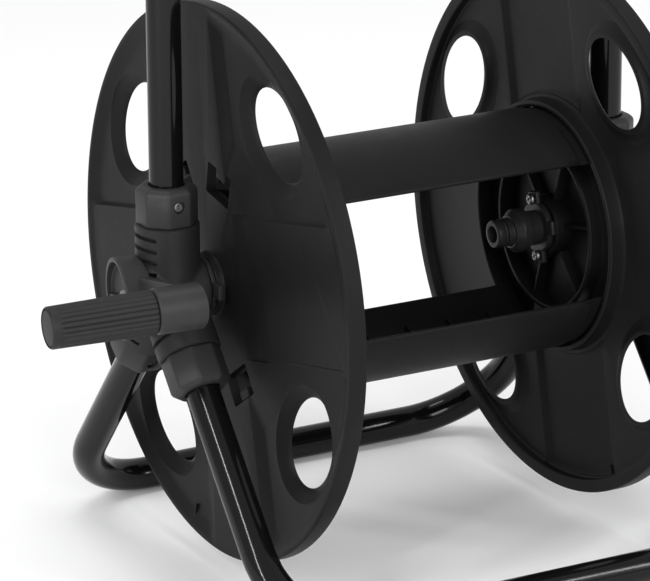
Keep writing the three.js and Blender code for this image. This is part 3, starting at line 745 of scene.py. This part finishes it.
def flange_cuts():
    """What is taken out of the flange's disc: four quadrants, the band's sides and four latch windows."""
    face = -FACE
    depths = [FLOOR, FLOOR - 0.12, FLOOR - 0.45, FLOOR - 0.9, 0.55, 0.2, 0.0, -2.0]
    spokes = [38.6, 37.6, 36.9, 36.1, 30.9, 30.1, 29.6, 29.3]
    bands = [38.3, 37.6, 37.2, 36.9, 35.4, 35.0, 34.6, 34.4]
    rims = [136.5, 138.4, 139.8, 141.0, 145.8, 146.6, 147.2, 147.4]
    hubs = [85.5, 84.5, 83.0, 80.5, 67.0, 65.4, 64.0, 63.6]
    rows = [quadrant(*sizes) for sizes in zip(spokes, bands, rims, hubs)]
    pocket = extruded(rows, [face + depth for depth in depths])
    mirrored = (pocket[0] * np.array([1, 1, -1]), [corners[::-1] for corners in pocket[1]])
    cuts = []
    for half in (0, 180):
        cuts += [turned_about_x(pocket, half), turned_about_x(mirrored, half)]
    band_depths = [BAND_SUNK, BAND_SUNK - 0.06, 0.25, 0.06, 0.0, -2.0]
    starts = [46.0, 43.0, 36.0, 33.6, 32.4, 32.2]
    ends = [142.0, 143.5, 145.6, 146.4, 146.9, 147.0]
    rows = []
    for start, end in zip(starts, ends):
        rows.append(np.concatenate([arc(np.zeros(2), end, -BAND_SWEEP, BAND_SWEEP, 25),
                                    [[start, BAND_HALF], [start, -BAND_HALF]]]))
    step = extruded(rows, [face + depth for depth in band_depths])
    cuts += [turned_about_x(step, half) for half in (0, 180)]
    window = block(face - 3, face + WEB_BACK + 4, -WINDOW_WIDTH / 2, WINDOW_WIDTH / 2,
                   WINDOW_INNER, WINDOW_OUTER, 1.5)
    for half in (0, 180):
        cuts += [turned_about_x(window, half + way * WINDOW_ANGLE) for way in (-1, 1)]
    return cuts


def hole_dishes():
    """Oval holes with the dished surround that leads into each from the quadrant's floor."""
    depths = [HOLE_DEPTH + 2, HOLE_DEPTH - 0.2, 8.5, 7.6, 6.4, 5.2, 4.2, FLOOR - 0.05, FLOOR - 1.2]
    grown = [0.0, 0.0, 0.3, 1.3, 3.2, 5.3, 7.0, 7.8, 8.0]
    hole = extruded([ellipse(HOLE_RADIAL + size * 0.94, HOLE_TANGENTIAL + size) for size in grown],
                    [-FACE + depth for depth in depths])
    return [turned_about_x(hole, turn) for turn in HOLE_TURNS]


def flange_backs():
    """Recesses in the flange's inner side behind the raised spokes, with sloping walls."""
    face = -FACE
    depths = [2.9, 3.0, 3.3, 5.2, 5.45, WEB_BACK, WEB_BACK + 3]
    halves = [30.0, 31.0, 31.8, 35.4, 36.2, 36.8, 37.2]
    rims = [139.0, 140.2, 140.8, 141.9, 142.2, 142.4, 142.6]
    inners = [75.0, 74.2, 73.8, 72.0, 71.6, 71.3, 71.0]
    rows = []
    for half, rim, inner in zip(halves, rims, inners):
        top, low = math.asin(half / rim), math.asin(half / inner)
        up, down = np.linspace(-top, top, 25), np.linspace(low, -low, 13)
        rows.append(np.concatenate([rim * np.column_stack([np.sin(up), np.cos(up)]),
                                    inner * np.column_stack([np.sin(down), np.cos(down)])]))
    channel = extruded(rows, [face + depth for depth in depths])
    return [turned_about_x(channel, half) for half in (0, 180)]


def flange_adds():
    """What stands on the flange's inner side: hole collars, core socket, inner ring, hub ribs and boss."""
    face = -FACE
    grown = [9.5, 8.8, 7.0, 5.2, 3.6, 3.0, 2.4, 1.6, -3.0]
    depths = [WEB_BACK - 1.5, 5.6, 6.1, 7.0, 8.2, 8.8, HOLE_DEPTH - 0.1, HOLE_DEPTH, HOLE_DEPTH]
    lip = extruded([ellipse(HOLE_RADIAL + size, HOLE_TANGENTIAL + size) for size in grown],
                   [face + depth for depth in depths])
    adds = [turned_about_x(lip, turn) for turn in HOLE_TURNS]
    back = face + WEB_BACK
    for outer, wall, depth in ((CORE_RADIUS + CORE_WALL, CORE_WALL, CORE_DEPTH),
                               (INNER_RING, INNER_RING_WALL, CORE_DEPTH - 1)):
        adds.append(revolved(rounded([
            (back - 1, outer - wall, 0), (back - 1, outer + 2.5, 0), (back, outer + 2.3, 0),
            (back + 0.7, outer + 0.7, 0), (back + 2.3, outer, 0),
            (face + depth, outer, 1.2), (face + depth, outer - wall, 0.9)]), 128))
    rib = block(back - 1, face + CORE_DEPTH - 4, -1.1, 1.1, BOSS_RADIUS - 3, INNER_RING - 1.5, 0.5)
    adds += [turned_about_x(rib, 30 + 60 * k) for k in range(6)]
    adds.append(revolved(rounded([
        (face - BOSS_RISE, 1.0, 0), (face - BOSS_RISE, BOSS_RADIUS, 0.8), (face - 1.4, BOSS_RADIUS, 0),
        (face - 0.4, BOSS_RADIUS + 0.5, 0), (face + 0.2, BOSS_RADIUS + 1.8, 0),
        (face + 2.0, BOSS_RADIUS + 1.8, 0), (face + 2.0, BOSS_RADIUS, 0),
        (face + BOSS_DEPTH, BOSS_RADIUS, 1.0), (face + BOSS_DEPTH, 1.0, 0)]), 96))
    return adds


def flange_disc():
    """The plain disc with its rim: a round-edged profile turned about the axis."""
    face = -FACE
    return revolved(rounded([
        (face, 2.0, 0), (face, FLANGE_RADIUS, 0.9), (face + RIM_WIDTH, FLANGE_RADIUS, 0.9),
        (face + RIM_WIDTH, FLANGE_RADIUS - RIM_WALL, 0.9),
        (face + WEB_BACK, FLANGE_RADIUS - RIM_WALL - 0.8, 1.5),
        (face + WEB_BACK, 2.0, 0)]), 192, closed=False)


def rim_ribs():
    """Two faint radial ribs across the sloping border inside the rim."""
    rib = block(-FACE + 2.2, -FACE + FLOOR + 0.5, 136.0, 144.5, -0.6, 0.6, 0.25)
    return [turned_about_x(rib, turn) for turn in RIM_RIB_TURNS]


def flange(node, place, cuts):
    """Disc with its cuts, then the parts on its inner side, then the oval holes and the shaft's bore."""
    made = built(node, flange_disc(), cut=flange_cuts() + flange_backs() + cuts, place=place)
    adds = [raw_object("add", shape, place) for shape in flange_adds() + rim_ribs()]
    merged(made, adds, "UNION")
    bore = sleeve(-FACE - 8, -FACE + 20, PIN, SHAFT_RADIUS + GAP, 64)
    return merged(made, [raw_object("cut", shape, place) for shape in hole_dishes() + [bore]], "DIFFERENCE")


def near_flange():
    socket = block(-FACE - 8, -FACE - BOSS_RISE + 13.5, -6.3, 6.3, -6.3, 6.3, 0.4)
    return flange("near_flange", on_drum, [socket, sleeve(-FACE - 6, -FACE + 20, PIN, 2.5, 24)])


def far_flange():
    return flange("far_flange", lambda points: on_drum(other_end(points)), [])


def slat(half):
    """Half of the core: an arc of wall, a set-back tongue and latches at each end, ribs inside."""
    half_wall = SLAT_WALL / 2
    spread = math.radians(SLAT_HALF_ANGLE)
    sweep = np.linspace(-spread, spread, 61)
    end_round = np.linspace(0, math.pi, 9)[1:-1]
    inner_radius = SLAT_OUTER - SLAT_WALL

    def section(outer_radius):
        """The wall's outline: outer arc, round edge, inner arc, round edge."""
        half_here = (outer_radius - inner_radius) / 2
        edge = spread + np.sin(end_round) * half_wall / SLAT_OUTER
        edge_radius = inner_radius + half_here * (1 + np.cos(end_round))
        return np.concatenate([
            np.column_stack([np.sin(sweep) * outer_radius, np.cos(sweep) * outer_radius]),
            np.column_stack([np.sin(edge) * edge_radius, np.cos(edge) * edge_radius]),
            np.column_stack([np.sin(sweep[::-1]) * inner_radius, np.cos(sweep[::-1]) * inner_radius]),
            np.column_stack([-np.sin(edge) * edge_radius, np.cos(edge) * edge_radius])[::-1]])

    reach = FACE - SLAT_END
    ends = np.array([reach, SLAT_SHOULDER + 0.3, SLAT_SHOULDER, SLAT_SHOULDER - 0.8])
    drops = np.array([1.3, 1.3, 0.5, 0.0])
    depths = np.concatenate([-ends, np.linspace(-80, 80, 9), ends[::-1]])
    radii = SLAT_OUTER - np.concatenate([drops, np.zeros(9), drops[::-1]])
    wall = extruded([section(radius) for radius in radii], depths)
    adds = []
    for degrees in (-WINDOW_ANGLE, WINDOW_ANGLE):
        for end in (-1, 1):
            for start, drop, rise in ((reach - 12, 2.2, 0.6), (FACE - 4.2, 4.6, 0.3)):
                x0, x1 = sorted((end * start, end * (FACE - 1)))
                latch = block(x0, x1, -LATCH_WIDTH / 2, LATCH_WIDTH / 2,
                              inner_radius - drop, inner_radius + rise, 0.5)
                adds.append(turned_about_x(latch, degrees))
    turn = np.radians(np.linspace(-40, 40, 41))
    for place in SLAT_RIB_PLACES:
        profile = rounded([(place - 0.75, inner_radius - 3, 0.4), (place + 0.75, inner_radius - 3, 0.4),
                           (place + 0.75, inner_radius + 0.5, 0), (place - 0.75, inner_radius + 0.5, 0)], 3)
        x, radius = profile[None, :, 0], profile[None, :, 1]
        adds.append(solid(np.stack([x + 0 * turn[:, None], radius * np.sin(turn[:, None]),
                                    radius * np.cos(turn[:, None])], -1)))
    adds = [turned_about_x(one, half) for one in adds]
    return built("slat", turned_about_x(wall, half), add=adds, place=on_drum)


# ---------- crank ----------

def slanted(shape):
    """Slants a shape's outer end: x = x + slant y, in full at the rim, fading to none at the floor."""
    points, faces = shape
    share = np.clip((-points[:, 0] - HUB_FLOOR) / (HUB_OUTER - HUB_FLOOR), 0, 1)
    return np.column_stack([points[:, 0] + HUB_SLANT * points[:, 1] * share, points[:, 1:]]), faces


def crank():
    """Cup-shaped hub with a slanting rim and a rib, arm, grip's boss, shaft and tenon."""
    hub = slanted(revolved(rounded([
        (-HUB_OUTER, CRANK_HUB - CRANK_WALL, 0.7), (-HUB_OUTER, CRANK_HUB, 1.0), (-HUB_FLOOR, CRANK_HUB, 0),
        (-ARM_INNER, CRANK_HUB, 0.8), (-ARM_INNER, 1.0, 0), (-HUB_FLOOR, 1.0, 0),
        (-HUB_FLOOR, CRANK_HUB - CRANK_WALL, 1.5)]), 96))
    insets = {0: 1.4, 0.3: 0.6, 1.2: 0, 5.8: 0, 6.7: 0.6, 7.0: 1.4}
    arm = extruded([arm_outline(inset) for inset in insets.values()],
                   [-ARM_INNER - depth for depth in insets])
    shaft = sleeve(-ARM_INNER - 1, -FACE - BOSS_RISE - GAP, 2.5, SHAFT_RADIUS, 64)
    tenon = block(-ARM_INNER + 4, -FACE - BOSS_RISE + 13, -6, 6, -6, 6, 0.4)
    rib = slanted(block(-HUB_OUTER + 2, -HUB_FLOOR + 1, -CRANK_HUB + 1.5, CRANK_HUB - 1.5, -1.2, 1.2, 0.4))
    cup = revolved([(-HUB_OUTER - 1, 1.0), (-HUB_OUTER - 1, CRANK_HUB - CRANK_WALL - 0.2),
                    (-HUB_FLOOR, CRANK_HUB - CRANK_WALL - 1.2), (-HUB_FLOOR, 1.0)], 64)
    made = built("crank", arm, cut=[cup], place=on_drum)
    boss = revolved(rounded([
        (-BOSS_LENGTH, 1.0, 0), (-BOSS_LENGTH, 12.0, 1.6), (5, 12.0, 0), (5, 1.0, 0)]), 96)
    boss_part = raw_object("boss", boss, at_grip)
    behind = block(-ARM_INNER, -ARM_INNER + 20, -ARM_LENGTH - 25, -ARM_LENGTH + 25, -20, 20, 0.1)
    merged(boss_part, [raw_object("cut", behind, on_drum)], "DIFFERENCE")
    others = [raw_object("add", shape, on_drum) for shape in (hub, shaft, tenon, rib)]
    merged(made, [boss_part] + others, "UNION")
    bore = revolved([
        (-HUB_OUTER - 8, PIN), (-HUB_OUTER - 8, 6.0), (-HUB_FLOOR - 0.2, 6.0), (-HUB_FLOOR - 0.2, 2.5),
        (-FACE + 20, 2.5), (-FACE + 20, PIN)], 40)
    pin_way = sleeve(-BOSS_LENGTH - 3, 8, PIN, 4.3, 40)
    cuts = [raw_object("cut", bore, on_drum), raw_object("cut", pin_way, at_grip)]
    return merged(made, cuts, "DIFFERENCE")


def arm_outline(inset):
    """The arm seen along the axis: a round end at the hub, tapering sides, a round end at the grip."""
    root, tip = 12.0 - inset, 10.0 - inset
    hub_sweep = np.linspace(-math.pi / 2, math.pi / 2, 25)
    tip_sweep = np.linspace(math.pi / 2, 1.5 * math.pi, 25)
    return np.concatenate([
        root * np.column_stack([np.cos(hub_sweep), np.sin(hub_sweep)]),
        np.array([-ARM_LENGTH, 0]) + tip * np.column_stack([np.cos(tip_sweep), np.sin(tip_sweep)])])


def grip():
    """Turning grip, slimmer towards its free end: radius = body radius - flute depth, ends rounded.

    The flutes fade out before the plain rim at the free end; the grip is bored for the spindle and the cap.
    """
    start, end = GRIP_FOOT, GRIP_TIP
    along = np.concatenate([[start, start + 0.3, start + 1.0], np.linspace(start + 2, end - GRIP_RIM - 1, 30),
                            [end - GRIP_RIM + 0.2, end - 3, end - 1.6, end - 0.8, end - 0.3, end]])
    drop = np.interp(along, [start, start + 0.3, start + 1, end - 1.6, end - 0.8, end - 0.3, end],
                     [0.9, 0.3, 0, 0, 0.2, 0.55, 1.0])
    body = np.interp(along, [start, end - GRIP_RIM], [GRIP_RADIUS, GRIP_END_RADIUS])
    angle = np.linspace(0, 2 * math.pi, GRIP_FLUTES * 12, endpoint=False)
    wave = np.abs(np.sin(angle * GRIP_FLUTES / 2))
    fluted = np.clip((end - GRIP_RIM - along) / 1.2, 0, 1)
    radius = (body - 0.05 - drop)[:, None] - 0.75 * fluted[:, None] * (1 - wave[None]) ** 1.2
    outer = np.stack([-along[:, None] + 0 * angle, radius * np.cos(angle), radius * np.sin(angle)], -1)
    inside = np.array([(end - 0.2, 9.75), (end - 4, 9.7), (end - 4, 6.5), (end - 8.3, 6.5), (end - 8.3, 4.4),
                       (start, 4.4)])
    depth, width = inside[:, :1], inside[:, 1:]
    inner = np.stack([-depth + 0 * angle, width * np.cos(angle), width * np.sin(angle)], -1)
    return solid(np.concatenate([outer, inner]), closed_rows=True)


def make_crank():
    finished(crank(), "crank", "drum", COLLAR)
    screw, cross = cross_screw(FACE - 14, HUB_FLOOR + GAP, 2.2, 5.0, 3.6)
    made = built("axle_screw", screw, cut=cross, place=lambda points: on_drum(other_end(points)))
    finished(made, "axle_screw", "drum", ZINC)
    finished(raw_object("grip", grip(), at_grip), "grip", "grip", GRIP)
    cap = revolved(rounded([
        (-GRIP_TIP + 0.25, 0.4, 0), (-GRIP_TIP + 0.25, 9.35, 0.5), (-GRIP_TIP + 3.7, 9.35, 0.2),
        (-GRIP_TIP + 3.7, 0.4, 0)]), 72, closed=False)
    finished(raw_object("grip_cap", cap, at_grip), "grip_cap", "grip", GRIP)
    head = GRIP_TIP - 8
    spindle = revolved(rounded([
        (-head - 3, PIN, 0), (-head - 3, 5.5, 0.8), (-head, 5.5, 0.2), (-head, 4.0, 0),
        (-0.6, 4.0, 0.4), (-0.6, PIN, 0)]), 48, closed=False)
    finished(raw_object("grip_spindle", spindle, at_grip), "grip_spindle", "drum", ZINC)


# ---------- water fittings ----------

def nipple_profile(root):
    """Click nipple along X, its tip towards -X: nose, ring groove, bulge and neck round a bore."""
    tip = root - NIPPLE_LENGTH
    return rounded([
        (tip, 4.5, 0.5), (tip, 7.8, 1.3), (tip + 4, 7.8, 0.15), (tip + 4, 6.2, 0.1), (tip + 6.4, 6.2, 0.1),
        (tip + 6.4, 7.8, 0.15), (tip + 10, 7.8, 0.6), (tip + 10.1, 9.0, 0.2), (tip + 14, 12.2, 1.2),
        (tip + 19, 12.2, 1.0), (root - 7, 9.6, 0.4), (root, 9.6, 0.2), (root, 4.5, 0)], 5)


def ring_seal(root):
    """Rubber ring in the nose's groove: a round section, a little proud of the nose."""
    centre = root - NIPPLE_LENGTH + 5.2
    sweep = np.linspace(0, 2 * math.pi, 20, endpoint=False)
    section = np.column_stack([centre + 0.9 * np.cos(sweep), 7.15 + 0.85 * np.sin(sweep)])
    return revolved(section, 72)


def make_fittings():
    seat = FACE - BOSS_DEPTH - GAP
    plate = revolved(rounded([
        (seat - 3, 4.5, 0.3), (seat - 3, 14.0, 0.8), (seat, 14.0, 0), (seat, SHAFT_RADIUS, 0),
        (153.3, SHAFT_RADIUS, 0.4), (153.3, 7.0, 0), (155.8, 7.0, 0), (155.8, 8.0, 0.2), (161.6, 8.0, 0.1),
        (161.6, 6.4, 0.1), (164.2, 6.4, 0.1), (164.2, 8.0, 0.1), (169.8, 8.0, 0.8), (169.8, 4.5, 0.3)]), 80)
    ears = [block(seat - 3, seat - 0.05, -4.5, 4.5, -20.0, 20.0, 0.9),
            block(seat - 3, seat - 0.05, -17.5, 0.0, -4.0, 4.0, 0.9)]
    ways = [sleeve(seat - 5, seat + 2, PIN, 1.9, 24), sleeve(seat - 8, 175, PIN, 4.5, 48)]
    screw_ways = [(moved(ways[0][0], z=way * PLATE_SCREW), ways[0][1]) for way in (1, -1)]
    made = built("water_spindle", plate, add=ears, cut=screw_ways + [ways[1]], place=on_drum)
    finished(made, "water_spindle", "drum", FITTING)
    root = seat - 3.3
    nipple = raw_object("nipple", revolved(nipple_profile(root), 96), on_drum)
    finished(nipple, "hose_nipple", "drum", FITTING)
    finished(raw_object("seal", ring_seal(root), on_drum), "nipple_seal", "drum", RUBBER)
    for node, way in (("plate_screw_top", 1), ("plate_screw_bottom", -1)):
        screw, cross = cross_screw(-root - 10, -root + GAP, 1.6, 3.2, 1.9)
        place = lambda points, way=way: on_drum(moved(other_end(points), z=way * PLATE_SCREW))
        finished(built(node, screw, cut=cross, place=place), node, "drum", ZINC)
    sweep = np.linspace(0, 2 * math.pi, 16, endpoint=False)
    stem_ring = revolved(np.column_stack([162.9 + 0.9 * np.cos(sweep), 7.2 + 0.75 * np.sin(sweep)]), 64)
    finished(raw_object("seal", stem_ring, on_drum), "stem_seal", "drum", RUBBER)
    clip = revolved(rounded([
        (153.6, 7.3, 0.1), (153.6, 12.0, 0.3), (155.5, 12.0, 0.3), (155.5, 7.3, 0.1)]), 64)
    mouth = block(152, 157, -3, 3, 0, 13, 0.3)
    finished(built("snap_ring", clip, cut=[mouth], place=on_drum), "snap_ring", "drum", ZINC)
    make_elbow()


def make_elbow():
    """Elbow that swivels on the stem: a round body, a branch hanging from it and its click nipple."""
    start, end = 156.1, 180.1
    middle = (start + end) / 2
    body = revolved(rounded([(start, 8.35, 0), (start, 14.0, 1.2), (end, 14.0, 3.0), (end, 0.5, 0),
                             (start + 15, 0.5, 0), (start + 15, 8.35, 0)]), 80)

    def down(shape):
        return moved(turn_y(shape[0], -math.pi / 2), x=middle), shape[1]

    branch = down(revolved(rounded([(-26, 0.5, 0), (-26, 12.0, 1.0), (-8, 12.0, 0), (-8, 0.5, 0)]), 80))
    outlet = down(revolved(nipple_profile(-25.0), 96))
    drop = down(sleeve(-60, -4, PIN, 4.0, 40))
    socket = sleeve(start - 1, start + 15, PIN, 8.35, 64)
    made = built("elbow", body, add=[branch, outlet], cut=[socket, drop])
    finished(made, "inlet_elbow", "inlet", FITTING)
    seal = down(ring_seal(-25.0))
    finished(raw_object("seal", seal), "elbow_seal", "inlet", RUBBER)


def make_drum():
    finished(near_flange(), "near_flange", "drum", DRUM)
    finished(far_flange(), "far_flange", "drum", DRUM)
    finished(slat(0), "top_slat", "drum", DRUM)
    finished(slat(180), "bottom_slat", "drum", DRUM)


# ---------- camera, floor and light ----------

def make_camera():
    """Seen from the crank's side and the user's side, from a little above."""
    camera = bpy.data.objects.new("camera", bpy.data.cameras.new("camera"))
    bpy.context.scene.collection.objects.link(camera)
    right = np.array([0.87476, -0.48453, -0.00540])
    up = np.array([0.15389, 0.26724, 0.95127])
    ahead = np.array([0.45947, 0.83296, -0.30834])
    matrix = np.eye(4)
    matrix[:3, 0], matrix[:3, 1], matrix[:3, 2] = right, up, -ahead
    matrix[:3, 3] = (MID_X * MM - 1.0239, -1.7813, 0.8062)
    camera.matrix_world = Matrix(matrix.tolist())
    camera.data.sensor_width = 36.0
    camera.data.lens = 221.2
    camera.data.clip_end = 100.0
    bpy.context.scene.camera = camera


def make_floor():
    mesh = bpy.data.meshes.new("floor")
    half = 12.0
    corners = [(-half, -half, 0), (half, -half, 0), (half, half, 0), (-half, half, 0)]
    mesh.from_pydata(corners, [], [(0, 1, 2, 3)])
    floor = bpy.data.objects.new("floor", mesh)
    bpy.context.scene.collection.objects.link(floor)
    f = Finish("pale_floor")
    f.shader.inputs["Base Color"].default_value = (0.90, 0.90, 0.905, 1)
    f.shader.inputs["Roughness"].default_value = 0.75
    mesh.materials.append(f.material)


def area_light(name, place, target, size, power):
    light = bpy.data.objects.new(name, bpy.data.lights.new(name, "AREA"))
    light.data.shape = "RECTANGLE"
    light.data.size, light.data.size_y = size
    light.data.energy = power
    bpy.context.scene.collection.objects.link(light)
    light.location = place
    aim = Matrix.Translation(target).translation - light.location
    light.rotation_euler = aim.to_track_quat("-Z", "Y").to_euler()


def make_light():
    world = bpy.data.worlds.new("studio")
    bpy.context.scene.world = world
    world.use_nodes = True
    background = world.node_tree.nodes["Background"]
    background.inputs[0].default_value = (1.0, 1.0, 1.0, 1)
    background.inputs[1].default_value = 0.72
    area_light("overhead", (0.1, 0.3, 2.6), (0.0, 0.0, 0.15), (1.6, 0.5), 16.0)
    area_light("left_strip", (-2.1, -1.0, 1.2), (0.0, 0.0, 0.2), (0.10, 1.8), 34.0)
    area_light("front_box", (-0.6, -3.6, 1.7), (0.1, 0.0, 0.1), (2.0, 1.2), 62.0)
    area_light("right_front", (1.5, -2.0, 1.3), (0.0, 0.0, 0.2), (0.10, 1.8), 18.0)
    bpy.context.scene.view_settings.view_transform = "Standard"


make_camera()
make_floor()
make_light()
make_stand()
make_drum()
make_crank()
make_fittings()
